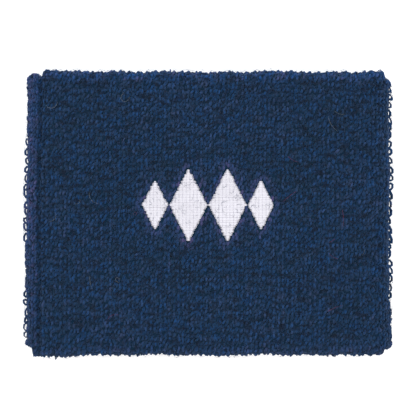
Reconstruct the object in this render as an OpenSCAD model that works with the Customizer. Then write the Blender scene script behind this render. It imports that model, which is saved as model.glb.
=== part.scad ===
// Terry sweat wristband, lying flat.
// A terry tube of double length is folded in on itself: the rims at its two mouths are the folds,
// and a seam inside joins the two cut ends. Elastic yarns run round the band between the two layers.
// The fabric is divided where it bends as the mouth opens: back wall, front wall and two side folds.
// X runs across the flat band, Y along the forearm, and +Z out of the emblem.
// The origin is in the middle of the face that the band lies on.

/* [Band] */
// Width of the flat band, from side fold to side fold
band_width = 90; // [76:1:105]
// Length of the band along the forearm, from rim to rim
band_length = 70; // [50:1:100]
// Thickness of the flat band: four terry layers and the gap of the mouth
band_thickness = 14; // [13.5:0.5:18]
// Thickness of one terry layer, ground knit and loops together
layer_thickness = 1.7; // [1.2:0.1:1.8]
// Space between the outer and the inner layer
layer_gap = 1.2; // [1.2:0.1:1.6]
// Clearance between a wall and a side fold, which slide past each other
fold_clearance = 0.1; // [0.05:0.05:0.3]

/* [Closing seam] */
// Width of the overlocked seam that joins the tube's cut ends
seam_width = 3; // [2:0.5:5]
// Depth of the seam thread in the inner layer
seam_depth = 0.7; // [0.4:0.1:1]
// Place of the seam along the band, measured from the middle
seam_offset = -9; // [-20:1:20]

/* [Elastic yarns] */
// Diameter of one covered elastic yarn
elastic_diameter = 0.5; // [0.3:0.1:0.6]
// Distance from one elastic yarn to the next
elastic_spacing = 3; // [2:0.5:6]

/* [Emblem] */
// Distance of the emblem from the middle of the band, towards the far rim
emblem_offset = 2; // [-10:0.5:10]
// Width of the two inner lozenges
large_width = 9; // [7:0.2:12]
// Height of the two inner lozenges
large_height = 17.8; // [12:0.2:24]
// Width of the two outer lozenges
small_width = 6.2; // [5:0.2:9]
// Height of the two outer lozenges
small_height = 12.2; // [9:0.2:20]
// Space between neighbouring lozenges
lozenge_gap = 0.4; // [0.2:0.1:2]
// Height of the top stitching
stitch_height = 0.9; // [0.5:0.1:1]
// Height of the underlay stitches below the top stitching
underlay_height = 0.3; // [0.2:0.1:0.4]

/* [Backing] */
// How far the backing reaches past the emblem on each side
backing_margin = 2; // [1:0.5:5]
// Thickness of the backing fleece
backing_thickness = 0.3; // [0.2:0.05:0.3]
// Thickness of the bobbin thread behind the backing
bobbin_thickness = 0.22; // [0.15:0.01:0.22]

/* [Hidden] */
$fn = 96;

// Distances are measured from the mid-plane of the flat band, or from the centre line of a side fold.
outer_face = band_thickness / 2;
outer_back = outer_face - layer_thickness;
inner_back = outer_back - layer_gap;
inner_face = inner_back - layer_thickness;
fold_x = band_width / 2 - outer_face;

rim_radius = (outer_face - inner_face) / 2;
rim_centre = (outer_face + inner_face) / 2;
layer_end = band_length / 2 - rim_radius;

elastic_play = 0.05;
elastic_centre = inner_back + elastic_play + elastic_diameter / 2;
elastic_margin = 1.2;
elastic_steps = floor((layer_end - elastic_margin) / elastic_spacing);

underlay_inset = 0.35;
bobbin_inset = 0.2;
inner_lozenge_x = (large_width + lozenge_gap) / 2;
outer_lozenge_x = large_width + 1.5 * lozenge_gap + small_width / 2;
lozenge_x = [-outer_lozenge_x, -inner_lozenge_x, inner_lozenge_x, outer_lozenge_x];
lozenge_size = [
    [small_width, small_height], [large_width, large_height],
    [large_width, large_height], [small_width, small_height]
];
emblem_width = 2 * outer_lozenge_x + small_width;
pocket_floor = band_thickness - stitch_height - underlay_height;
backing_top = outer_face + outer_back;
backing_corner = 2;

terry_colour = [0.12, 0.20, 0.30];
rim_colour = [0.14, 0.23, 0.34];
inner_colour = [0.10, 0.17, 0.26];
elastic_colour = [0.30, 0.32, 0.38];
seam_colour = [0.16, 0.24, 0.36];
thread_colour = [0.91, 0.90, 0.93];
backing_colour = [0.80, 0.80, 0.82];

// ---- The four zones of the band, each swept from a profile ----
// A profile's x is the distance from the mid-plane or fold line, and its y the place along the forearm.

module lay_flat() {
    translate([0, 0, outer_face]) rotate([-90, 0, 0]) children();
}

// The straight run of the back wall, between the side folds.
module back_wall() {
    run = 2 * (fold_x - fold_clearance);
    lay_flat() translate([-run / 2, 0, 0]) rotate([90, 0, 90]) linear_extrude(run) children();
}

module front_wall() {
    translate([0, 0, band_thickness]) mirror([0, 0, 1]) back_wall() children();
}

// Half a turn round a side fold, from the back wall to the front wall.
module right_fold() {
    lay_flat() translate([fold_x, 0, 0]) rotate([0, 0, -90]) rotate_extrude(angle = 180) children();
}

module left_fold() {
    lay_flat() translate([-fold_x, 0, 0]) rotate([0, 0, 90]) rotate_extrude(angle = 180) children();
}

// ---- Profiles ----

module outer_layer_profile() {
    translate([outer_back, -layer_end]) square([layer_thickness, 2 * layer_end]);
}

module seam_profile() {
    translate([inner_face, seam_offset - seam_width / 2]) square([seam_depth, seam_width]);
}

module inner_layer_profile() {
    difference() {
        translate([inner_face, -layer_end]) square([layer_thickness, 2 * layer_end]);
        seam_profile();
    }
}

// Half of a ring: the fold of the fabric from the outer to the inner layer. side is 1 or -1.
module rim_profile(side) {
    translate([rim_centre, side * layer_end]) intersection() {
        difference() {
            circle(r = rim_radius);
            circle(r = layer_gap / 2);
        }
        translate([-rim_radius, side > 0 ? 0 : -rim_radius]) square([2 * rim_radius, rim_radius]);
    }
}

module elastic_profile(step) {
    translate([elastic_centre, step * elastic_spacing]) circle(d = elastic_diameter);
}

// ---- Emblem outlines ----

// A lozenge with every side moved inwards by the same distance.
module lozenge(index, inset = 0) {
    half_w = lozenge_size[index][0] / 2;
    half_h = lozenge_size[index][1] / 2;
    keep = 1 - inset * norm([half_w, half_h]) / (half_w * half_h);
    translate([lozenge_x[index], emblem_offset])
        polygon([[-half_w * keep, 0], [0, half_h * keep], [half_w * keep, 0], [0, -half_h * keep]]);
}

module all_lozenges(inset = 0) {
    for (index = [0 : 3]) lozenge(index, inset);
}

module backing_outline() {
    size = [emblem_width + 2 * backing_margin, large_height + 2 * backing_margin];
    inner = size - 2 * [backing_corner, backing_corner];
    translate([0, emblem_offset]) {
        square([size.x, inner.y], center = true);
        square([inner.x, size.y], center = true);
        for (sx = [-1, 1], sy = [-1, 1])
            translate([sx * inner.x / 2, sy * inner.y / 2]) circle(r = backing_corner);
    }
}

// ---- Back wall ----

module back_outer_layer() {
    color(terry_colour) back_wall() outer_layer_profile();
}

module back_inner_layer() {
    color(inner_colour) back_wall() inner_layer_profile();
}

module back_far_rim() {
    color(rim_colour) back_wall() rim_profile(1);
}

module back_near_rim() {
    color(rim_colour) back_wall() rim_profile(-1);
}

module back_elastic_yarns() {
    color(elastic_colour)
        for (step = [-elastic_steps : elastic_steps]) back_wall() elastic_profile(step);
}

module back_closing_seam() {
    color(seam_colour) back_wall() seam_profile();
}

// ---- Front wall ----

// The stitching has pressed the loops down, so it sits in pockets of the terry.
module front_outer_layer() {
    color(terry_colour) difference() {
        front_wall() outer_layer_profile();
        translate([0, 0, pocket_floor]) linear_extrude(stitch_height + underlay_height + 1) all_lozenges();
    }
}

module front_inner_layer() {
    color(inner_colour) front_wall() inner_layer_profile();
}

module front_far_rim() {
    color(rim_colour) front_wall() rim_profile(1);
}

module front_near_rim() {
    color(rim_colour) front_wall() rim_profile(-1);
}

module front_elastic_yarns() {
    color(elastic_colour)
        for (step = [-elastic_steps : elastic_steps]) front_wall() elastic_profile(step);
}

module front_closing_seam() {
    color(seam_colour) front_wall() seam_profile();
}

// ---- Left side fold ----

module left_fold_outer_layer() {
    color(terry_colour) left_fold() outer_layer_profile();
}

module left_fold_inner_layer() {
    color(inner_colour) left_fold() inner_layer_profile();
}

module left_fold_far_rim() {
    color(rim_colour) left_fold() rim_profile(1);
}

module left_fold_near_rim() {
    color(rim_colour) left_fold() rim_profile(-1);
}

module left_fold_elastic_yarns() {
    color(elastic_colour)
        for (step = [-elastic_steps : elastic_steps]) left_fold() elastic_profile(step);
}

module left_fold_closing_seam() {
    color(seam_colour) left_fold() seam_profile();
}

// ---- Right side fold ----

module right_fold_outer_layer() {
    color(terry_colour) right_fold() outer_layer_profile();
}

module right_fold_inner_layer() {
    color(inner_colour) right_fold() inner_layer_profile();
}

module right_fold_far_rim() {
    color(rim_colour) right_fold() rim_profile(1);
}

module right_fold_near_rim() {
    color(rim_colour) right_fold() rim_profile(-1);
}

module right_fold_elastic_yarns() {
    color(elastic_colour)
        for (step = [-elastic_steps : elastic_steps]) right_fold() elastic_profile(step);
}

module right_fold_closing_seam() {
    color(seam_colour) right_fold() seam_profile();
}

// ---- Embroidered emblem ----

module emblem_lozenge(index) {
    color(thread_colour)
        translate([0, 0, pocket_floor + underlay_height]) linear_extrude(stitch_height) lozenge(index);
}

module emblem_underlay() {
    color(thread_colour)
        translate([0, 0, pocket_floor]) linear_extrude(underlay_height) all_lozenges(underlay_inset);
}

module emblem_backing() {
    color(backing_colour)
        translate([0, 0, backing_top - backing_thickness])
            linear_extrude(backing_thickness) backing_outline();
}

module emblem_bobbin_thread() {
    color(thread_colour)
        translate([0, 0, backing_top - backing_thickness - bobbin_thickness])
            linear_extrude(bobbin_thickness) all_lozenges(bobbin_inset);
}

back_outer_layer();
back_inner_layer();
back_far_rim();
back_near_rim();
back_elastic_yarns();
back_closing_seam();
front_outer_layer();
front_inner_layer();
front_far_rim();
front_near_rim();
front_elastic_yarns();
front_closing_seam();
left_fold_outer_layer();
left_fold_inner_layer();
left_fold_far_rim();
left_fold_near_rim();
left_fold_elastic_yarns();
left_fold_closing_seam();
right_fold_outer_layer();
right_fold_inner_layer();
right_fold_far_rim();
right_fold_near_rim();
right_fold_elastic_yarns();
right_fold_closing_seam();
emblem_lozenge(0);  // emblem_lozenge_left_outer
emblem_lozenge(1);  // emblem_lozenge_left_inner
emblem_lozenge(2);  // emblem_lozenge_right_inner
emblem_lozenge(3);  // emblem_lozenge_right_outer
emblem_underlay();
emblem_bobbin_thread();
emblem_backing();
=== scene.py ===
"""Visual model of a terry sweat wristband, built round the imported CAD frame.

The band is one terry tube folded in on itself. Its visible fabric is made in four quarters, front and
back by left and right, so that each quarter can bend between its wall and the side folds. The pile is
real: every loop is a tube of yarn that stands on a thick ground knit. Lengths are in metres, in the
frame's own axes: X across the flat band, Y along the forearm, Z up out of the emblem.
"""

import math

import bpy
import numpy as np
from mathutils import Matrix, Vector


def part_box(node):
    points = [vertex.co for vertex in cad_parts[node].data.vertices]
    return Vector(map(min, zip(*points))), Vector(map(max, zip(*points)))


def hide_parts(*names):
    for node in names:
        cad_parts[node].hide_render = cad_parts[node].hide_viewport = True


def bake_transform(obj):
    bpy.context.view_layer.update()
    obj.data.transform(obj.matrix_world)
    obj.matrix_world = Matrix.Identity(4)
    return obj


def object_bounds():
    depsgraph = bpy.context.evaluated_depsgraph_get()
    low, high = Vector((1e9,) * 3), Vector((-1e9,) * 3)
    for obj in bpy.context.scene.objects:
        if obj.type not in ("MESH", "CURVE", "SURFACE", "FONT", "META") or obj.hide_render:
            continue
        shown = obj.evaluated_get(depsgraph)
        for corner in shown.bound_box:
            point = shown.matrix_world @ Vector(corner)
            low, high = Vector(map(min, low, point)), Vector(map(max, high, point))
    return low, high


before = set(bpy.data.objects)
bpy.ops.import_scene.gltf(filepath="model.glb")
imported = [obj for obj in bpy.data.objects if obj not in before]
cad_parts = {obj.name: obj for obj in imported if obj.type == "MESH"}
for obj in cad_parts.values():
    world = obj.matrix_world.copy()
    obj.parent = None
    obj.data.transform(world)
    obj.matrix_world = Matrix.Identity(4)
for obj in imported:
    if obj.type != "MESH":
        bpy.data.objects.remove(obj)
CAD_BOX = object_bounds()
MM = 0.001
rng = np.random.default_rng(7)

# ---- Sizes, read from the frame ----

OUTER_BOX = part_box("back_outer_layer")
INNER_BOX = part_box("back_inner_layer")
SEAM_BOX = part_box("back_closing_seam")
SEAM_Y = (SEAM_BOX[0].y + SEAM_BOX[1].y) / 2
SEAM_HALF = (SEAM_BOX[1].y - SEAM_BOX[0].y) / 2
MID_Z = CAD_BOX[1].z / 2
FOLD_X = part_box("right_fold_outer_layer")[0].x
FOLD_R = CAD_BOX[1].x - FOLD_X
LAYER_END = OUTER_BOX[1].y
INNER_FACE = MID_Z - INNER_BOX[1].z
RIM_R = (FOLD_R - INNER_FACE) / 2
WALL_R = (FOLD_R + INNER_FACE) / 2
BACK_R = (INNER_BOX[0].z - OUTER_BOX[1].z) / 2
QUARTER = FOLD_X + FOLD_R * math.pi / 2

# ---- The terry ----

# Distances from the middle line of a wall's section: the loops' feet, the ground knit's face, the tips.
FOOT_R = RIM_R - 1.25 * MM
GROUND_R = RIM_R - 0.75 * MM
PILE_R = RIM_R - 0.02 * MM
STRETCH_SINK = 0.15 * MM  # how much lower the feet are where the fabric is stretched
WALE_PITCH = 1.08 * MM
COURSE_PITCH = 1.03 * MM
YARN_R = 0.27 * MM
RING_YARN_R = {"left": 0.28 * MM, "right": 0.34 * MM}
# Lengths along a wall's section: a layer between its rims, a rim, and all of it.
RUN = 2 * LAYER_END
TURN = math.pi * RIM_R
SECTION = 2 * (RUN + TURN)
WALES = round(QUARTER / WALE_PITCH)
FOREARM = np.array([[0.0, 1.0, 0.0]])
QUARTERS = [(wall, side) for wall in ("front", "back") for side in ("left", "right")]

# ---- The loops ----

# Heights as shares of the tallest loop's.
ODD_COURSE = 0.88
FILLING_LOOP = 0.72
RIM_LOOP = 0.88
STRAY_LOOP = 1.6
# How much lower the loops are, as a share: in streaks along the courses, beside the embroidery, where the
# fabric is stretched and under the closing seam.
LOWER_IN_STREAKS = 0.2
LOWER_BESIDE_EMBLEM = 0.25
LOWER_STRETCHED = 0.45
LOWER_UNDER_SEAM = 0.6
# Least and greatest, in millimetres: half the length of a loop and of a ring, and the height of a ring.
LOOP_HALF = (0.38, 0.62)
RING_HALF = (0.75, 1.3)
RING_HEIGHT = (1.0, 1.4)
STRAY_HALF = 0.7
STRAY_YARN = 0.45  # as a share of the yarn
STRAY_SHARE = {"terry_outer": 0.002, "terry_inner": 0.002, "terry_rim": 0.005}
THICKER_BESIDE_EMBLEM = 0.15  # how much thicker the yarn is there, as a share
EMBLEM_MARGIN = 0.3 * MM  # there is no loop nearer to the embroidery than this
FAR_AWAY = 1.0  # a distance greater than any on the band

# ---- Threads and yarns ----

ELASTIC_PITCH = 3 * MM
ELASTIC_WINDING = 1.5 * MM
SEAM_PITCH = 1.8 * MM
SEAM_YARN_R = 0.14 * MM
SEAM_SHIFTS = (0.0, 1.2)  # phases of the two zigzag threads
SEAM_SINK = 0.5 * MM  # how far under the rim's face the seam's threads start
SEAM_LIFT = 0.18 * MM  # how far they rise over each other
THREAD_PITCH = 0.4 * MM
THREAD_R = 0.15 * MM
THREAD_WIDTH = 0.5 * MM
NEEDLE_PITCH = 0.87 * MM
NEEDLE_R = 0.16 * MM
HOLE_DEPTH = (0.31, 0.63)  # least and greatest, as shares of HOLE_DIP
HOLE_DIP = 0.2 * MM
CROWN_DROP = 0.12 * MM  # how much lower the stitching is at a lozenge's side corners
END_DROP = 0.6 * MM  # how far each thread goes down at its ends
END_LENGTH = 0.42 * MM
BACKING_CORNER = 2 * MM
BACKING_WAVE = 0.03 * MM
# Pitch of the threads and their distance from the lozenges' edges.
BURIED = {"emblem_underlay": (0.9 * MM, 0.35 * MM), "emblem_bobbin_thread": (0.8 * MM, 0.2 * MM)}

# ---- Loose fibres and lint ----

# Least and greatest, in millimetres.
FIBRE_R = (0.016, 0.03)
FIBRE_LENGTH = (0.7, 2.2)
FIBRE_RISE = (0.15, 0.42)
FIBRE_BEND = 1.5  # spread of the bend along a hair, in radians
LINT_R = 0.028
RED_LINT = 0.35  # share of the lint that is red

# ---- Unevenness of the cloth ----

# Shallow creases on the emblem's side, in millimetres: x, y, half length, half width, tilt in degrees.
CREASES = [
    (17, 26.5, 3.5, 0.8, 0),
    (35, -12, 7, 0.9, 35),
    (-30, -26, 4, 0.9, 0),
    (37.5, 15.5, 3, 0.7, -25),
    (27, -19, 2, 0.7, 10),
    (12, -25.5, 3, 0.5, 0),
]
# The side folds are shorter than the walls at each corner, in millimetres: x and y signs, distance of the
# step from the side, height of the step, depth of the notch at the step and rounding of the corner.
CORNERS = [
    (-1, 1, 4.5, 0.45, 2.2, 0.9),
    (1, 1, 2.4, 1.2, 0.3, 2.6),
    (-1, -1, 2.6, 2.4, 0.2, 0.6),
    (1, -1, 2.5, 1.3, 0.2, 0.5),
]
# Where the fabric is stretched round each side fold, as y in millimetres: where that starts, where it is
# full, where it is last full and where it ends.
STRETCHED = {
    "left": [(-33, -31, -20, -17), (-9, -5, 16, 20)],
    "right": [(-24, -20, 31, 34)],
}
PRESSED_FOLD = 4.5  # distance of the pressed line from the left side, in millimetres
# How far the cloth strays from the exact band, in millimetres.
RIM_WAVE = 0.22
RIM_BUMP = 0.16
RIM_INSET = 0.45
LEFT_RIM_FLARE = 0.4
SIDE_WAVE = 0.2
TOP_LEFT_INSET = 0.65
FACE_WAVE = 0.18
CREASE_DEPTH = 0.45
PRESSED_DEPTH = 0.9
PRESSED_FLAT = 0.4  # height below which the loops that the band lies on are pressed

# ---- Painted light and shade, and the paler pile beside the embroidery ----

# From 0 to 1, at most: the paler pile beside the embroidery is 1. The paler pile on the side strip is painted
# # sheen and near the near rim painted light; the blue on the strip is painted sheen and on the back's rims
# # painted light; the pressed line gets painted shade.
STRIP_PAINTED_SHEEN = 0.32
NEAR_RIM_PAINTED_LIGHT = 0.22
STRIP_PAINTED_SHEEN_BLUE = 0.15
BACK_RIM_PAINTED_LIGHT = 0.5
PRESSED_PAINTED_SHADE = 0.3
# The paler pile beside the embroidery starts to fade at the first distance, over the second, in millimetres.
HELD_PALER_START = 0.4
HELD_PALER_FADE = 0.9


def waves(u, v, seed=0.0):
    """A smooth, irregular value from about -1 to 1 at each point (u, v), the same on every run."""
    return (
        np.sin(1.7 * u + 0.6 * v + 1.3 + seed)
        + np.sin(-1.1 * u + 2.3 * v + 4.1 + 2.3 * seed)
        + np.sin(2.9 * u + 1.9 * v + 0.7 + 1.7 * seed)
        + np.sin(-4.3 * u + 3.7 * v + 2.9 + 0.9 * seed)
    ) / 2.6


def ramp(value, start, end):
    """0 before start, 1 after end, and a smooth rise between them."""
    t = np.clip((value - start) / (end - start), 0, 1)
    return t * t * (3 - 2 * t)


def signs(wall, side):
    return (1 if wall == "front" else -1), (1 if side == "right" else -1)


def section(t):
    """The wall's section at arc length t: the middle line's y and the outward direction (along Y, radial).
    t starts at the outer layer's near end and runs over the far rim, the inner layer and the near rim."""
    t = np.mod(t, SECTION)
    far = (t - RUN) / RIM_R
    near = (t - 2 * RUN - TURN) / RIM_R
    on_outer, on_far = t < RUN, t < RUN + TURN
    on_inner = t < 2 * RUN + TURN
    angle = np.select([on_outer, on_far, on_inner], [0 * t, far, math.pi + 0 * t], math.pi + near)
    y = np.select(
        [on_outer, on_far, on_inner],
        [t - LAYER_END, LAYER_END + 0 * t, LAYER_END - (t - RUN - TURN)],
        -LAYER_END,
    )
    return y, np.sin(angle), np.cos(angle)


def place(quarter, s, t, depth):
    """Points on the band at s round it, t round the wall's section and depth from the wall's middle,
    with the directions outward, along the section and round the band."""
    front, right = signs(*quarter)
    s, t, depth = np.broadcast_arrays(s, t, depth)
    y, out_y, out_r = section(t)
    bend = np.clip((s - FOLD_X) / FOLD_R, 0, None)
    radial = np.stack([right * np.sin(bend), 0 * s, front * np.cos(bend)], -1)
    r = WALL_R + depth * out_r
    point = radial * r[..., None]
    point[..., 0] += right * np.minimum(s, FOLD_X)
    point[..., 1] += y + depth * out_y
    point[..., 2] += MID_Z
    outward = radial * out_r[..., None] + FOREARM * out_y[..., None]
    along = FOREARM * out_r[..., None] - radial * out_y[..., None]
    across = np.stack([right * np.cos(bend), 0 * s, -front * np.sin(bend)], -1)
    return point, outward, along, across


def crease_depth(x, y):
    """From 0 to 1, how deep the shallow creases are at (x, y), in millimetres."""
    depth = np.zeros(np.shape(x))
    for cx, cy, half_length, half_width, tilt in CREASES:
        turn = math.radians(tilt)
        u = ((x - cx) * math.cos(turn) + (y - cy) * math.sin(turn)) / half_length
        v = ((y - cy) * math.cos(turn) - (x - cx) * math.sin(turn)) / half_width
        depth = np.maximum(depth, np.exp(-(u**4) - v**2))
    return depth


def pressed_line(x, width):
    """From 0 to 1, how close x is to the line pressed into the left fold, in millimetres."""
    return np.exp(-(((x + CAD_BOX[1].x / MM - PRESSED_FOLD) / width) ** 2))


def relax(point):
    """Bends the exact band into cloth: uneven edges, shorter side folds, creases and soft waves. The loops
    that the band lies on are pressed flat."""
    p = point / MM
    x, y, z = p[..., 0], p[..., 1], p[..., 2]
    mid, half, long = MID_Z / MM, CAD_BOX[1].x / MM, CAD_BOX[1].y / MM
    side, end = np.sign(x), np.sign(y)
    from_side, rim = half - np.abs(x), np.abs(y) / long
    upper = ramp(z, mid - 1, mid + 5)

    shorter = np.zeros(np.shape(x))
    for corner_side, corner_end, step_at, step, notch, rounding in CORNERS:
        here = (side == corner_side) & (end == corner_end)
        fold = step * ramp(-from_side, -step_at - 0.15, -step_at + 0.15)
        fold += notch * np.exp(-(((from_side - step_at + 0.2) / 0.5) ** 2))
        curve = np.clip(1 - from_side / (0.8 * rounding), 0, 1)
        shorter += here * (fold + rounding * (1 - np.sqrt(1 - curve**2)))
    bumps = np.sin(2.9 * x + 2.2 * waves(x / 5, 2.0 * end, 7.0))
    uneven = RIM_WAVE * waves(x / 6, 2.0 * end, 1.0) + LEFT_RIM_FLARE * ramp(-x, 26, 38)
    shift_y = -end * rim**6 * shorter
    shift_y += end * ramp(rim, 0.6, 1.0) * uneven
    shift_y += end * ramp(rim, 0.93, 1.0) * (RIM_BUMP * bumps - RIM_INSET)
    shift_x = side * ramp(-from_side, -9, 0) * SIDE_WAVE * waves(y / 6, 3.0 * side, 2.0)
    shift_x += ramp(-x / half, 0.8, 1.0) * ramp(y, 15, 20) * TOP_LEFT_INSET
    shift_z = -PRESSED_DEPTH * upper * pressed_line(x, 0.35)
    shift_z += upper * (FACE_WAVE * waves(x / 9, y / 9, 3.0) - CREASE_DEPTH * crease_depth(x, y))
    moved = point + MM * np.stack([shift_x, shift_y, shift_z], -1)
    low = moved[..., 2] / (PRESSED_FLAT * MM)
    pressed = PRESSED_FLAT * MM * np.exp(np.minimum(low, 1) - 1)
    moved[..., 2] = np.where(low < 1, pressed, moved[..., 2])
    return moved


# ---- Mesh helpers ----


def mesh_object(name, points, quads, tris=None):
    """A mesh piece from arrays of points, four-sided faces and, if given, triangles."""
    mesh = bpy.data.meshes.new(name)
    faces = [quads] if tris is None else [quads, tris]
    starts, total = [], 0
    for group in faces:
        starts.append(total + group.shape[1] * np.arange(len(group)))
        total += group.size
    corners = np.concatenate([group.ravel() for group in faces])
    mesh.vertices.add(len(points))
    mesh.vertices.foreach_set("co", points.astype(np.float32).ravel())
    mesh.loops.add(total)
    mesh.loops.foreach_set("vertex_index", corners.astype(np.int32))
    mesh.polygons.add(sum(len(group) for group in faces))
    mesh.polygons.foreach_set("loop_start", np.concatenate(starts).astype(np.int32))
    mesh.polygons.foreach_set("use_smooth", np.ones(len(mesh.polygons), bool))
    mesh.update(calc_edges=True)
    piece = bpy.data.objects.new(name, mesh)
    bpy.context.scene.collection.objects.link(piece)
    return piece


def unit(vectors):
    return vectors / np.maximum(np.linalg.norm(vectors, axis=-1, keepdims=True), 1e-12)


def tube_faces(count, rings, sides, capped):
    """Quads and cap triangles that join each tube's rings of points."""
    index = np.arange(count * rings * sides).reshape(count, rings, sides)
    low, high = index[:, :-1], index[:, 1:]
    quads = np.stack([low, np.roll(low, -1, 2), np.roll(high, -1, 2), high], -1).reshape(-1, 4)
    if not capped:
        return quads, None
    fan = np.arange(1, sides - 1)
    first, last = index[:, 0], index[:, -1]
    start = [np.broadcast_to(first[:, :1], (count, len(fan))), first[:, fan + 1], first[:, fan]]
    finish = [np.broadcast_to(last[:, :1], (count, len(fan))), last[:, fan], last[:, fan + 1]]
    tris = np.concatenate([np.stack(start, -1), np.stack(finish, -1)]).reshape(-1, 3)
    return quads, tris


def unroll_tubes(mesh, count, rings, sides):
    """A UV map that unrolls every tube into a cell of its own, for baking colours into."""
    across = math.ceil(math.sqrt(count))
    u, v = np.linspace(0.1, 0.9, rings), np.linspace(0.1, 0.9, sides + 1)
    cell = np.arange(count)[:, None, None, None]
    ring_u = np.stack([u[:-1], u[:-1], u[1:], u[1:]], -1)[:, None]
    side_v = np.stack([v[:-1], v[1:], v[1:], v[:-1]], -1)[None]
    quads = np.broadcast_arrays((cell % across + ring_u) / across, (cell // across + side_v) / across)
    where = np.zeros((len(mesh.loops), 2), np.float32)
    where[: quads[0].size] = np.stack(quads, -1).reshape(-1, 2)
    caps = (len(mesh.loops) - quads[0].size) // count // 2
    if caps:
        corner = np.stack([(cell % across + 0.1) / across, (cell // across + 0.1) / across], -1)
        where[quads[0].size :] = np.tile(np.repeat(corner.reshape(-1, 2), caps, 0), (2, 1))
    mesh.uv_layers.new(name="OFBake").data.foreach_set("uv", where.ravel())


def tubes(name, material, lines, beside, radius, sides, flat=1.0, capped=False, values=None):
    """A piece of tubes, one round each line. lines is (count, rings, 3), beside a direction across each
    line or each of its points, radius half a tube's width along beside, flat its height over its width,
    and values numbers for each line or each of its points, which the material reads."""
    count, rings = lines.shape[:2]
    forward = unit(np.gradient(lines, axis=1))
    beside = np.broadcast_to(beside if beside.ndim == 3 else beside[:, None], lines.shape)
    up = unit(np.cross(beside, forward))
    wide = np.cross(forward, up)
    turn = np.arange(sides) * 2 * math.pi / sides
    ring = np.cos(turn)[:, None] * wide[:, :, None] + flat * np.sin(turn)[:, None] * up[:, :, None]
    radius = np.broadcast_to(radius, (count, rings))[..., None, None]
    points = relax((lines[:, :, None] + radius * ring).reshape(-1, 3))
    piece = mesh_object(name, points, *tube_faces(count, rings, sides, capped))
    unroll_tubes(piece.data, count, rings, sides)
    for key, value in (values or {}).items():
        each = np.broadcast_to(value if np.ndim(value) == 2 else value[:, None], (count, rings))
        layer = piece.data.attributes.new(key, "FLOAT", "POINT")
        layer.data.foreach_set("value", np.repeat(each, sides).astype(np.float32))
    piece.data.materials.append(material)
    return piece


def bend_with_band(piece, replaced=()):
    """Bakes the piece's transform into its mesh and hides the CAD nodes that it replaces."""
    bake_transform(piece)
    if replaced:
        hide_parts(*replaced)
    return piece


# ---- Emblem outline ----

EMBLEM_NODES = [
    "emblem_lozenge_left_outer", "emblem_lozenge_left_inner",
    "emblem_lozenge_right_inner", "emblem_lozenge_right_outer",
]


def lozenge_of(node):
    """Centre x, centre y, half width and half height of an emblem lozenge."""
    low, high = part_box(node)
    return (low.x + high.x) / 2, (low.y + high.y) / 2, (high.x - low.x) / 2, (high.y - low.y) / 2


LOZENGES = {node: lozenge_of(node) for node in EMBLEM_NODES}


def outside_emblem(x, y):
    """Distance from (x, y) to the nearest lozenge, negative inside it."""
    nearest = np.full(np.shape(x), FAR_AWAY)
    for cx, cy, half_w, half_h in LOZENGES.values():
        u, v = np.abs(x - cx), np.abs(y - cy)
        q = np.clip(((half_w - u) * half_w + v * half_h) / (half_w**2 + half_h**2), 0, 1)
        gap = np.hypot(u - half_w * (1 - q), v - half_h * q)
        nearest = np.minimum(nearest, np.where(u / half_w + v / half_h < 1, -gap, gap))
    return nearest


# ---- Pile ----


def loop_grid(quarter, first, last, filled):
    """Feet of the loops from t = first to last: s and t, jittered off the knit's grid, the height of each
    loop as a share of the tallest and whether its course is an even one. Lower loops fill the gaps if
    filled, and the row of them on each line where two quarters meet belongs to one of the two."""
    front, right = signs(*quarter)
    courses = round((last - first) / COURSE_PITCH)
    s = (np.arange(WALES) + 0.5) * QUARTER / WALES
    t = first + (np.arange(courses) + 0.5) * (last - first) / courses
    s, t = (a.ravel() for a in np.meshgrid(s, t))
    even = np.repeat(np.arange(courses), WALES) % 2 == 0
    tall = np.where(even, 1.0, ODD_COURSE)
    if filled:
        s = np.concatenate([s, s - 0.5 * front * right * QUARTER / WALES])
        t = np.concatenate([t, t + 0.3 * COURSE_PITCH])
        tall = np.concatenate([tall, FILLING_LOOP * tall])
        even = np.concatenate([even, np.zeros_like(even)])
    streaks = ramp(waves(s / (6 * MM), 1.9 * t / COURSE_PITCH, 11.0), 0.1, 0.9)
    tall = tall * (1 - LOWER_IN_STREAKS * streaks)
    t = t + 0.25 * MM * waves(s / (9 * MM), t / (11 * MM), 5.0)
    s = s + rng.normal(0, 0.07 * MM, s.shape)
    t = t + rng.normal(0, 0.2 * MM, t.shape)
    return np.clip(s, -0.15 * MM, QUARTER + 0.05 * MM), t, tall, even


def stretched(quarter, s, y):
    """From 0 to 1, where the fabric is stretched round the side fold, so that its loops stand apart."""
    y = y / MM
    zones = [ramp(y, start, full) * ramp(-y, -end, -last) for start, full, last, end in STRETCHED[quarter[1]]]
    return np.max(zones, axis=0) * ramp(s, QUARTER - 4.5 * MM, QUARTER - 3 * MM)


def seam_cover(t):
    """From 0 to 1, where the closing seam covers the inner layer."""
    y, _, out_r = section(t)
    return (out_r < 0) * ramp(-np.abs(y - SEAM_Y), -SEAM_HALF - 0.6 * MM, -SEAM_HALF + 0.2 * MM)


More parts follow.
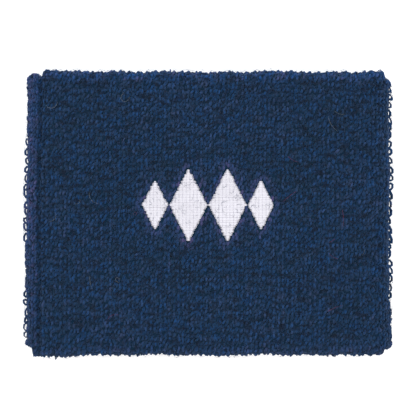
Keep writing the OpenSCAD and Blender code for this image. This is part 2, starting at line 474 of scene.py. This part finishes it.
def tone(quarter, point, gap):
    """Painted shade in the creases and on the pressed line; how much paler and purpler the pile is, which is
    most where the embroidery holds it down and is painted sheen on the side strip and painted light near the
    near rim; and painted blue light, most on the far rim and on the back wall's rims, with painted sheen on
    the side strip; each from 0 to 1."""
    x, y = point[:, 0] / MM, point[:, 1] / MM
    if quarter[0] == "back":
        # The back wall's rims: painted blue light.
        return {"dark": 0 * x, "paler_partly_painted_light": 0 * x, "blue": BACK_RIM_PAINTED_LIGHT * ramp(np.abs(y), 32, 34.5)}
    pressed_at = CAD_BOX[1].x / MM - PRESSED_FOLD
    # Painted sheen: the side strip beyond the pressed line is paler and bluer.
    strip = ramp(-x, pressed_at, pressed_at + 0.7)
    held = np.exp(-np.maximum(gap / MM - HELD_PALER_START, 0) / HELD_PALER_FADE)
    # Painted light: the pile near the near rim is paler.
    near_rim = NEAR_RIM_PAINTED_LIGHT * ramp(-y, 31, 33)
    # Painted shade in the creases and on the pressed line.
    return {
        "dark": np.maximum(crease_depth(x, y), PRESSED_PAINTED_SHADE * pressed_line(x, 0.4)),
        "paler_partly_painted_light": np.maximum(np.maximum(STRIP_PAINTED_SHEEN * strip, held), near_rim),
        "blue": np.maximum(ramp(y, 31, 33.2), STRIP_PAINTED_SHEEN_BLUE * strip),
    }


def loop_lines(feet, height, half, twist, lean_s, lean_t, rings):
    """Middle lines of loops: arches on the feet, turned by twist, that lean by lean_s round the band and by
    lean_t along the section. Also each loop's crosswise direction, and the rise along it from 0 to 1."""
    point, outward, along, across = feet
    q = np.linspace(0, 1, rings)
    rise = np.sin(math.pi * q) ** 0.75
    reach = half[:, None] * -np.cos(math.pi * q) * (0.6 + 0.6 * np.sin(math.pi * q))
    forward = reach * np.cos(twist)[:, None] + lean_t[:, None] * rise**2
    sideways = reach * np.sin(twist)[:, None] + lean_s[:, None] * rise**2
    lines = (
        point[:, None]
        + forward[..., None] * along[:, None]
        + sideways[..., None] * across[:, None]
        + (height[:, None] * rise)[..., None] * outward[:, None]
    )
    beside = across * np.cos(twist)[:, None] - along * np.sin(twist)[:, None]
    return lines, beside, rise


def pile(quarter, name, slot, first, last, rings, sides, filled=True):
    """One piece of pile: a loop of yarn on every foot from t = first to last, but none on the embroidery."""
    front, right = signs(*quarter)
    s, t, tall, even = loop_grid(quarter, first, last, filled)
    stretch = stretched(quarter, s, section(t)[0]) * (slot == "terry_outer")
    feet = place(quarter, s, t, FOOT_R - STRETCH_SINK * stretch)
    gap = np.full(len(s), FAR_AWAY)
    if quarter[0] == "front" and slot == "terry_outer":
        gap = np.where(s < FOLD_X, outside_emblem(feet[0][:, 0], feet[0][:, 1]), FAR_AWAY)
    kept = gap > EMBLEM_MARGIN
    s, t, gap, tall, even, stretch = (a[kept] for a in (s, t, gap, tall, even, stretch))
    feet = [a[kept] for a in feet]
    count = len(s)
    ring = (stretch > 0.5) & (front > 0) & (s > QUARTER - 0.8 * WALE_PITCH) & even
    stray = rng.random(count) < STRAY_SHARE[slot]

    yarn = YARN_R * rng.uniform(0.85, 1.15, count)
    yarn *= 1 + THICKER_BESIDE_EMBLEM * ramp(-gap, -2 * MM, -1 * MM)
    ring_yarn = RING_YARN_R[quarter[1]] * rng.uniform(0.8, 1.2, count)
    yarn = np.where(ring, ring_yarn, np.where(stray, STRAY_YARN * yarn, yarn))
    height = (PILE_R - FOOT_R) * rng.uniform(0.9, 1.03, count) - 0.85 * yarn
    beside_emblem = ramp(-gap, -1.6 * MM, -EMBLEM_MARGIN)
    lowered = (1 - LOWER_BESIDE_EMBLEM * beside_emblem) * (1 - LOWER_STRETCHED * stretch)
    lowered *= 1 - LOWER_UNDER_SEAM * seam_cover(t)
    height = np.where(ring, rng.uniform(*RING_HEIGHT, count) * MM, height * tall * lowered)
    height *= np.where(stray, STRAY_LOOP, 1)
    if slot == "terry_rim":
        height *= RIM_LOOP

    twist = front * right * np.where(ring, 0.15, 1) * rng.normal(0.22, 0.24, count)
    lean_s = rng.normal(0, 0.12, count) * MM
    lean_t = rng.normal(-0.08, 0.2, count) * np.where(ring, 2, 1) * MM
    half = np.where(ring, rng.uniform(*RING_HALF, count), rng.uniform(*LOOP_HALF, count))
    half = np.where(stray, STRAY_HALF, half) * MM
    lines, beside, rise = loop_lines(feet, height, half, twist, lean_s, lean_t, rings)
    tones = tone(quarter, feet[0], gap)
    # The loops' height share, which the material turns into painted shade towards the feet; less of it where
    # the pile is paler.
    tip = (height[:, None] * rise + yarn[:, None]) / (PILE_R - FOOT_R) / lowered[:, None]
    tip += 0.3 * tones["paler_partly_painted_light"][:, None]
    values = {"shade": rng.random(count), "tip": tip, **tones}
    piece = tubes(name, TERRY, lines, beside, yarn[:, None], sides, values=values)
    return bend_with_band(piece)


# ---- Loose fibres ----


def loose_fibres(quarter, count=2400, lint=9, rings=7, sides=3):
    """Fine cotton hairs that stand off the pile, and on the emblem's side a little pale and red lint."""
    s = rng.uniform(0.5 * MM, QUARTER - 0.5 * MM, count)
    t = rng.uniform(0, SECTION, count)
    kind = np.zeros(count)
    thick = rng.uniform(*FIBRE_R, count) * MM
    if quarter[0] == "front":
        kind[:lint] = np.where(rng.random(lint) < RED_LINT, 1.0, 0.5)
        thick[:lint] = LINT_R * MM
        t[:lint] = rng.uniform(2 * MM, RUN - 2 * MM, lint)
        s[:lint] = rng.uniform(16 * MM, FOLD_X, lint)
    point, outward, along, across = place(quarter, s, t, PILE_R - 0.2 * MM)
    length = rng.uniform(*FIBRE_LENGTH, count) * MM * (1 + (kind > 0))
    heading = rng.uniform(0, 2 * math.pi, count)
    bend = rng.normal(0, FIBRE_BEND, count)
    rise = rng.uniform(*FIBRE_RISE, count) * MM
    q = np.linspace(0, 1, rings)
    angle = heading[:, None] + bend[:, None] * (q - 0.5)
    ahead = length[:, None] * (q - 0.5)
    lines = (
        point[:, None]
        + (ahead * np.cos(angle))[..., None] * along[:, None]
        + (ahead * np.sin(angle))[..., None] * across[:, None]
        + (rise[:, None] * np.sin(math.pi * q * 0.85))[..., None] * outward[:, None]
    )
    radius = thick[:, None] * (1 - 0.6 * q**2)
    name = f"loose_fibres_{'_'.join(quarter)}"
    piece = tubes(name, FIBRE, lines, outward, radius, sides, capped=True, values={"lint": kind})
    return bend_with_band(piece)


# ---- Ground knit ----


def ground(quarter):
    """The knit that carries the loops: a closed shell round the wall's section, folded at both rims."""
    wall, side = quarter
    s = np.concatenate([np.linspace(0, FOLD_X, 39), np.linspace(FOLD_X, QUARTER, 13)[1:]])
    turns = np.linspace(0, TURN, 13)
    runs = np.linspace(0, RUN, 67)[:-1]
    t = np.concatenate([runs, RUN + turns[:-1], RUN + TURN + runs, 2 * RUN + TURN + turns[:-1]])
    y = section(t)[0][None] + 0 * s[:, None]
    on_outer = (t < RUN)[None]
    sunk = on_outer * stretched(quarter, s[:, None], y) * (GROUND_R - FOOT_R + STRETCH_SINK)
    outer = place(quarter, s[:, None], t[None], GROUND_R - sunk)[0]
    inner = place(quarter, s[:, None], t[None], BACK_R)[0]
    columns, rows = len(s), len(t)
    index = np.arange(2 * columns * rows).reshape(2, columns, rows)

    def strip(a, b, flip):
        face = np.stack([a, b, np.roll(b, -1, -1), np.roll(a, -1, -1)], -1).reshape(-1, 4)
        return face[:, ::-1] if flip else face

    mirrored = signs(wall, side)[0] * signs(wall, side)[1] < 0
    quads = np.concatenate([
        strip(index[0, :-1], index[0, 1:], mirrored),
        strip(index[1, :-1], index[1, 1:], not mirrored),
        strip(index[0, 0], index[1, 0], not mirrored),
        strip(index[0, -1], index[1, -1], mirrored),
    ])
    points = relax(np.stack([outer, inner]).reshape(-1, 3))
    piece = mesh_object(f"terry_ground_{wall}_{side}", points, quads)
    piece.data.materials.append(GROUND)
    zones = [wall, f"{side}_fold"]
    parts = ["outer_layer", "inner_layer", "far_rim", "near_rim"]
    return bend_with_band(piece, [f"{z}_{p}" for z in zones for p in parts])


# ---- Elastic yarns and closing seam ----


def elastic_yarns(quarter, rings=66, sides=6):
    """The covered elastic yarns between the two layers, each thicker where its cover is wound close."""
    wall, side = quarter
    low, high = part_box(f"{wall}_elastic_yarns")
    radius = (high.z - low.z) / 2
    depth = abs((low.z + high.z) / 2 - MID_Z) - WALL_R
    count = round((high.y - low.y - 2 * radius) / ELASTIC_PITCH) + 1
    y = np.linspace(low.y + radius, high.y - radius, count)
    s = np.linspace(0, QUARTER, rings)
    lines = place(quarter, s[None], y[:, None] + LAYER_END, depth)[0]
    thick = radius * (0.94 + 0.06 * np.sin(s * 2 * math.pi / ELASTIC_WINDING))[None]
    piece = tubes(f"elastic_yarns_{wall}_{side}", ELASTIC, lines, FOREARM, thick, sides, capped=True)
    return bend_with_band(
        piece, [f"{wall}_elastic_yarns", f"{side}_fold_elastic_yarns"]
    )


def closing_seam(quarter, rings=420, sides=5):
    """The overlock seam: two threads that zigzag over the cut ends and a looped chain along each edge."""
    wall, side = quarter
    s = np.linspace(0, QUARTER, rings)
    phase = s * 2 * math.pi / SEAM_PITCH
    zigzag = [np.arcsin(0.96 * np.sin(phase + shift)) * 2 / math.pi for shift in SEAM_SHIFTS]
    chain = [edge * (0.93 + 0.07 * np.cos(2 * phase)) for edge in (-1, 1)]
    over = [0.5 + 0.5 * np.cos(phase + shift) for shift in SEAM_SHIFTS]
    over += [0.3 + 0.3 * np.sin(2 * phase)] * 2
    y = SEAM_Y + (SEAM_HALF - SEAM_YARN_R) * np.stack(zigzag + chain)
    depth = RIM_R - SEAM_SINK + SEAM_LIFT * np.stack(over)
    t = RUN + TURN + LAYER_END - y
    lines, outward, _, _ = place(quarter, s[None], t, depth)
    forward = unit(np.gradient(lines, axis=1))
    beside = np.cross(outward, forward)
    piece = tubes(f"closing_seam_{wall}_{side}", SEAM_THREAD, lines, beside, SEAM_YARN_R, sides, capped=True)
    return bend_with_band(
        piece, [f"{wall}_closing_seam", f"{side}_fold_closing_seam"]
    )


# ---- Embroidered emblem ----


def rows_of(node, pitch, inset=0.0):
    """Centre x, row heights and half lengths of the level threads that fill a lozenge."""
    cx, cy, half_w, half_h = LOZENGES[node]
    keep = 1 - inset * math.hypot(half_w, half_h) / (half_w * half_h)
    half_w, half_h = half_w * keep, half_h * keep
    rows = round(2 * half_h / pitch)
    y = (np.arange(rows) + 0.5) * 2 * half_h / rows - half_h
    reach = half_w * (1 - np.abs(y) / half_h)
    kept = reach > 0.3 * pitch
    return cx, cy + y[kept], reach[kept]


def side_of(node):
    return "left" if "_left_" in node else "right"


def top_stitching(node, rings=73, sides=6):
    """Fill stitches: level rows of thread side by side, drawn down at every needle hole and at both ends."""
    cx, y, reach = rows_of(node, THREAD_PITCH)
    count = len(y)
    reach = reach + rng.normal(0.05, 0.08, count) * MM
    q = np.linspace(-1, 1, rings)
    x = cx + reach[:, None] * q
    column = np.round(x / NEEDLE_PITCH)
    hole = np.exp(-(((x - column * NEEDLE_PITCH) / NEEDLE_R) ** 2))
    index = (column - column.min()).astype(int)
    depth = rng.uniform(*HOLE_DEPTH, (count, index.max() + 1))
    dip = hole * np.take_along_axis(depth, index, 1)
    from_end = reach[:, None] * (1 - np.abs(q))
    crown = ((x - cx) / LOZENGES[node][2]) ** 2
    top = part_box(node)[1].z - THREAD_R - rng.uniform(0, 0.03, count)[:, None] * MM
    z = top - CROWN_DROP * crown - HOLE_DIP * dip - END_DROP * ramp(-from_end, -END_LENGTH, 0)
    rows = y[:, None] + rng.normal(0, 0.02, count)[:, None] * MM + 0 * x
    lines = np.stack([x, rows, z], -1)
    piece = tubes(
        f"{node}_stitching", EMBLEM_THREAD, lines, FOREARM, THREAD_WIDTH / 2, sides,
        flat=2 * THREAD_R / THREAD_WIDTH, capped=True, values={"hole": dip},
    )
    return bend_with_band(piece, [node])


def buried_stitches(replaced, side):
    """Rows of thread under the top stitching on one side of the band, at the height of the CAD node."""
    pitch, inset = BURIED[replaced]
    low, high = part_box(replaced)
    radius = (high.z - low.z) / 2
    rings, sides = 9, 6
    lines = []
    for name in EMBLEM_NODES:
        if side_of(name) == side:
            cx, y, reach = rows_of(name, pitch, inset)
            q = np.linspace(-1, 1, rings)
            x = cx + reach[:, None] * q
            slant = 0.3 * pitch * q[None] + y[:, None]
            lines.append(np.stack([x, slant, 0 * x + low.z + radius], -1))
    lines = np.concatenate(lines)
    piece = tubes(f"{replaced}_{side}", UNDERLAY_THREAD, lines, FOREARM, radius, sides, capped=True)
    return bend_with_band(piece, [replaced])


def backing(side, columns=34, rows=40):
    """Half of the fleece behind the embroidery: a thin sheet with round corners, a little uneven."""
    low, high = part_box("emblem_backing")
    middle = (low.y + high.y) / 2
    x = np.linspace(0, high.x, columns)
    over_corner = np.clip(x - (high.x - BACKING_CORNER), 0, BACKING_CORNER)
    half_y = (high.y - low.y) / 2 - BACKING_CORNER + np.sqrt(BACKING_CORNER**2 - over_corner**2)
    v = np.linspace(-1, 1, rows)
    x_grid = x[:, None] * signs("front", side)[1] + 0 * v
    y_grid = middle + half_y[:, None] * v
    uneven = BACKING_WAVE * waves(x_grid / (1.1 * MM), y_grid / (1.3 * MM), 9.0)
    top = np.stack([x_grid, y_grid, high.z - 0.04 * MM + uneven], -1)
    bottom = np.stack([x_grid, y_grid, low.z + 0.04 * MM + uneven], -1)
    index = np.arange(2 * columns * rows).reshape(2, columns, rows)

    def faces(a, b, c, d):
        face = np.stack([a, b, c, d], -1).reshape(-1, 4)
        return face if side == "right" else face[:, ::-1]

    over, under = index
    quads = np.concatenate([
        faces(over[:-1, :-1], over[1:, :-1], over[1:, 1:], over[:-1, 1:]),
        faces(under[:-1, 1:], under[1:, 1:], under[1:, :-1], under[:-1, :-1]),
        faces(under[:-1, 0], under[1:, 0], over[1:, 0], over[:-1, 0]),
        faces(over[:-1, -1], over[1:, -1], under[1:, -1], under[:-1, -1]),
        faces(over[0, :-1], over[0, 1:], under[0, 1:], under[0, :-1]),
        faces(under[-1, :-1], under[-1, 1:], over[-1, 1:], over[-1, :-1]),
    ])
    points = relax(np.stack([top, bottom]).reshape(-1, 3))
    piece = mesh_object(f"emblem_backing_{side}", points, quads)
    piece.data.materials.append(FLEECE)
    return bend_with_band(piece, ["emblem_backing"])


# ---- Materials ----


def new_material(name, roughness, sheen=0.0):
    material = bpy.data.materials.new(name)
    material.use_nodes = True
    shader = material.node_tree.nodes["Principled BSDF"]
    shader.inputs["Roughness"].default_value = roughness
    shader.inputs["Sheen Weight"].default_value = sheen
    shader.inputs["Sheen Roughness"].default_value = 0.5
    shader.inputs["Specular IOR Level"].default_value = 0.2
    return material, shader


def node(material, kind, **settings):
    made = material.node_tree.nodes.new(kind)
    for key, value in settings.items():
        setattr(made, key, value)
    return made


def ramp_node(material, factor, stops):
    made = node(material, "ShaderNodeValToRGB")
    elements = made.color_ramp.elements
    while len(elements) < len(stops):
        elements.new(0.5)
    for element, (place_at, colour) in zip(elements, stops):
        element.position = place_at
        element.color = (*colour, 1)
    material.node_tree.links.new(factor, made.inputs["Fac"])
    return made.outputs["Color"]


def noise(material, scale, detail=2.0, roughness=0.5, stretch=(1, 1, 1)):
    made = node(material, "ShaderNodeTexNoise")
    made.inputs["Scale"].default_value = scale
    made.inputs["Detail"].default_value = detail
    made.inputs["Roughness"].default_value = roughness
    where = node(material, "ShaderNodeTexCoord")
    mapped = node(material, "ShaderNodeMapping")
    mapped.inputs["Scale"].default_value = stretch
    material.node_tree.links.new(where.outputs["Object"], mapped.inputs["Vector"])
    material.node_tree.links.new(mapped.outputs["Vector"], made.inputs["Vector"])
    return made.outputs["Fac"]


def maths(material, operation, a, b):
    made = node(material, "ShaderNodeMath", operation=operation)
    for socket, value in zip(made.inputs, (a, b)):
        if isinstance(value, (int, float)):
            socket.default_value = value
        else:
            material.node_tree.links.new(value, socket)
    return made.outputs[0]


def multiplied(material, colour, other):
    made = node(material, "ShaderNodeMix", data_type="RGBA", blend_type="MULTIPLY")
    made.inputs["Factor"].default_value = 1
    material.node_tree.links.new(colour, made.inputs["A"])
    material.node_tree.links.new(other, made.inputs["B"])
    return made.outputs["Result"]


def bumped(material, shader, height, strength, distance):
    made = node(material, "ShaderNodeBump")
    made.inputs["Strength"].default_value = strength
    made.inputs["Distance"].default_value = distance
    material.node_tree.links.new(height, made.inputs["Height"])
    material.node_tree.links.new(made.outputs["Normal"], shader.inputs["Normal"])


def attribute(material, name):
    return node(material, "ShaderNodeAttribute", attribute_name=name).outputs["Fac"]


NAVY_DARK = (0.0016, 0.0195, 0.0515)
NAVY = (0.0045, 0.0282, 0.0850)
NAVY_LIGHT = (0.0115, 0.0368, 0.1060)
NAVY_SHEEN = (0.35, 0.5, 0.9, 1)
PALE_LINT = (0.22, 0.23, 0.22)
DARK_RED_LINT = (0.2, 0.03, 0.07)


def terry_material():
    """Cotton pile yarn: uneven dye from loop to loop, painted shade towards each loop's feet, fading to red
    or to blue, painted shade in the creases, paler and purplish beside the embroidery, paler as painted sheen
    on the side strip and as painted light near the near rim, and painted blue light at the rims."""
    material, shader = new_material("navy_terry_yarn", 0.95, sheen=0.2)
    shader.inputs["Sheen Tint"].default_value = NAVY_SHEEN
    mottled = maths(material, "ADD", attribute(material, "shade"), noise(material, 60, 3))
    half_mottled = maths(material, "MULTIPLY", mottled, 0.5)
    colour = ramp_node(material, half_mottled, [(0.2, NAVY_DARK), (0.5, NAVY), (0.8, NAVY_LIGHT)])
    paler_partly_painted_light = attribute(material, "paler_partly_painted_light")
    patches = noise(material, 1000, 1, 0.5, stretch=(0.6, 1.1, 1))
    # The patches are paler where the pile is paler: on the side strip and near the near rim, painted sheen
    # and light.
    patches = maths(material, "ADD", patches, maths(material, "MULTIPLY", paler_partly_painted_light, 0.12))
    patchy = ramp_node(
        material, patches,
        [(0.3, (0.1, 0.28, 0.3)), (0.52, (1.12, 1.16, 1.15)), (0.72, (1.5, 1.32, 1.31))],
    )
    fading = maths(material, "SUBTRACT", noise(material, 420, 3, 0.6), 0.5)
    fading = maths(material, "MULTIPLY", fading, maths(material, "SUBTRACT", 1.0, paler_partly_painted_light))
    faded = ramp_node(
        material, maths(material, "ADD", fading, 0.5),
        [(0.3, (0.1, 1.0, 1.18)), (0.5, (0.95, 1.0, 1.0)), (0.7, (2.1, 1.0, 0.84))],
    )
    result = multiplied(material, multiplied(material, colour, patchy), faded)
    # Painted shade towards the loops' feet and in the creases, the paler pile with its painted sheen and
    # light, and painted blue light at the rims.
    for name, start, low, high in (
        ("tip", 0.45, (0.32, 0.48, 0.38), (1.0, 1.0, 1.0)),
        ("dark", 0.0, (1.0, 1.0, 1.0), (0.5, 0.58, 0.55)),
        ("paler_partly_painted_light", 0.0, (1.0, 1.0, 1.0), (4.8, 1.18, 1.07)),
        ("blue", 0.0, (1.0, 1.0, 1.0), (2.6, 1.6, 1.75)),
    ):
        tint = ramp_node(material, attribute(material, name), [(start, low), (1.0, high)])
        result = multiplied(material, result, tint)
    material.node_tree.links.new(result, shader.inputs["Base Color"])
    bumped(material, shader, noise(material, 9000, 3, 0.7), 0.8, 0.0001)
    return material


def ground_material():
    """The ground knit under the loops, with the fine grain of its yarns. Its navy is painted darker than the
    loops' as shade in the gaps between them.
    """
    material, shader = new_material("navy_ground_knit_with_painted_shade", 1.0)
    grain = noise(material, 900, 3)
    # Painted shade: the ground is darker than the loops' yarn, so the gaps between the loops look shaded.
    colour = ramp_node(material, grain, [(0.3, (0.003, 0.016, 0.034)), (0.8, NAVY_DARK)])
    material.node_tree.links.new(colour, shader.inputs["Base Color"])
    bumped(material, shader, noise(material, 2500, 2), 1.0, 0.0003)
    return material


def fibre_material():
    """Loose cotton hairs in the band's blue, with pale and red lint."""
    material, shader = new_material("loose_cotton_fibres", 0.9, sheen=0.1)
    shader.inputs["Sheen Tint"].default_value = NAVY_SHEEN
    colour = ramp_node(
        material, attribute(material, "lint"),
        [(0.0, NAVY_LIGHT), (0.25, NAVY_LIGHT), (0.5, PALE_LINT), (1.0, DARK_RED_LINT)],
    )
    varied = ramp_node(material, noise(material, 700, 2), [(0.3, (0.8,) * 3), (0.7, (1.2,) * 3)])
    material.node_tree.links.new(multiplied(material, colour, varied), shader.inputs["Base Color"])
    return material


def thread_material(name, colour, roughness, sheen, painted_hole_shade=False):
    """Twisted thread: streaks of ply along it, a little soil and, on the emblem, painted shade
    in the needle holes.
    """
    material, shader = new_material(name, roughness, sheen)
    streaks = noise(material, 5200, 3, 0.65, stretch=(0.35, 1, 1))
    shade = maths(material, "ADD", streaks, noise(material, 180, 2))
    low = tuple(0.86 * value for value in colour)
    result = ramp_node(material, maths(material, "MULTIPLY", shade, 0.5), [(0.3, low), (0.65, colour)])
    if painted_hole_shade:
        # Painted shade: the thread is darker where it dips into a needle hole.
        hole = attribute(material, "hole")
        holes = ramp_node(material, hole, [(0.2, (1.0, 1.0, 1.0)), (1.0, (0.42, 0.4, 0.48))])
        result = multiplied(material, result, holes)
    material.node_tree.links.new(result, shader.inputs["Base Color"])
    bumped(material, shader, streaks, 0.6, 0.00008)
    return material


def elastic_material():
    """Covered elastic: dull thread wound closely round a rubber core."""
    material, shader = new_material("covered_elastic", 0.7)
    wound = noise(material, 2400, 2, 0.5, stretch=(1, 0.2, 0.2))
    colour = ramp_node(material, wound, [(0.3, (0.022, 0.036, 0.064)), (0.7, (0.04, 0.058, 0.098))])
    material.node_tree.links.new(colour, shader.inputs["Base Color"])
    bumped(material, shader, wound, 0.8, 0.0001)
    return material


def fleece_material():
    """Nonwoven backing: pressed white fibres with thin places."""
    material, shader = new_material("backing_fleece", 0.95, sheen=0.2)
    matted = noise(material, 1500, 5, 0.7)
    colour = ramp_node(material, matted, [(0.3, (0.45, 0.45, 0.47)), (0.7, (0.68, 0.68, 0.7))])
    material.node_tree.links.new(colour, shader.inputs["Base Color"])
    bumped(material, shader, matted, 0.9, 0.0002)
    return material


TERRY = terry_material()
GROUND = ground_material()
FIBRE = fibre_material()
ELASTIC = elastic_material()
FLEECE = fleece_material()
SEAM_THREAD = thread_material("overlock_thread", (0.021, 0.050, 0.115), 0.8, 0.2)
EMBLEM_THREAD = thread_material("embroidery_thread", (0.66, 0.645, 0.70), 0.5, 0.1, painted_hole_shade=True)
UNDERLAY_THREAD = thread_material("underlay_thread", (0.76, 0.75, 0.80), 0.6, 0.1)

# ---- Build ----

for quarter in QUARTERS:
    tag = "_".join(quarter)
    base = ground(quarter)
    skins = [
        pile(quarter, f"terry_pile_outer_near_{tag}", "terry_outer", 0, RUN / 2, 6, 6),
        pile(quarter, f"terry_pile_outer_far_{tag}", "terry_outer", RUN / 2, RUN, 6, 6),
        pile(quarter, f"terry_pile_far_rim_{tag}", "terry_rim", RUN, RUN + TURN, 6, 6),
        pile(quarter, f"terry_pile_inner_{tag}", "terry_inner", RUN + TURN, 2 * RUN + TURN, 6, 5, False),
        pile(quarter, f"terry_pile_near_rim_{tag}", "terry_rim", 2 * RUN + TURN, SECTION, 6, 6),
        loose_fibres(quarter),
    ]
    elastic_yarns(quarter)
    closing_seam(quarter)

for emblem_node in EMBLEM_NODES:
    top_stitching(emblem_node)

for half in ("left", "right"):
    for buried_node in BURIED:
        buried_stitches(buried_node, half)
    backing(half)


# ---- Floor, light and camera ----


def studio():
    """A white floor that glows like a light table, even light from all round and a soft light from above
    the far rim."""
    far = 3.0
    corners = [(-far, -far, 0), (far, -far, 0), (far, far, 0), (-far, far, 0)]
    floor_mesh = bpy.data.meshes.new("floor")
    floor_mesh.from_pydata(corners, [], [(0, 1, 2, 3)])
    floor = bpy.data.objects.new("floor", floor_mesh)
    floor.location.z = -0.0005
    bpy.context.scene.collection.objects.link(floor)
    material, shader = new_material("white_floor", 0.9)
    shader.inputs["Base Color"].default_value = (0.85, 0.85, 0.85, 1)
    shader.inputs["Emission Color"].default_value = (1, 1, 1, 1)
    shader.inputs["Emission Strength"].default_value = 0.3
    floor_mesh.materials.append(material)

    world = bpy.data.worlds.new("studio")
    world.use_nodes = True
    world.node_tree.nodes["Background"].inputs["Color"].default_value = (1, 1, 1, 1)
    world.node_tree.nodes["Background"].inputs["Strength"].default_value = 0.8
    bpy.context.scene.world = world
    bpy.context.scene.view_settings.view_transform = "Standard"

    for name, place_at, size, power, colour in (
        ("key_light", (-0.08, 0.40, 0.40), 0.5, 1.8, (0.88, 0.94, 1.0)),
        ("fill_light", (0.10, -0.20, 0.55), 0.6, 1.9, (1.0, 0.98, 0.95)),
    ):
        light = bpy.data.lights.new(name, "AREA")
        light.size = size
        light.energy = power
        light.color = colour
        lamp = bpy.data.objects.new(name, light)
        lamp.location = place_at
        lamp.rotation_mode = "QUATERNION"
        lamp.rotation_quaternion = (-Vector(place_at)).to_track_quat("-Z", "Y")
        bpy.context.scene.collection.objects.link(lamp)


def camera(filled=0.885, above_middle=1.3 * MM):
    """Looks straight down. The band fills a share of the picture's width, a little below its middle."""
    data = bpy.data.cameras.new("camera")
    data.lens, data.sensor_width = 120, 36
    data.clip_start, data.clip_end = 0.01, 10
    cam = bpy.data.objects.new("camera", data)
    shown_width = 2 * CAD_BOX[1].x / filled
    distance = shown_width / 2 / (data.sensor_width / 2 / data.lens)
    cam.location = (0, above_middle, MID_Z + distance)
    bpy.context.scene.collection.objects.link(cam)
    bpy.context.scene.camera = cam


studio()
camera()
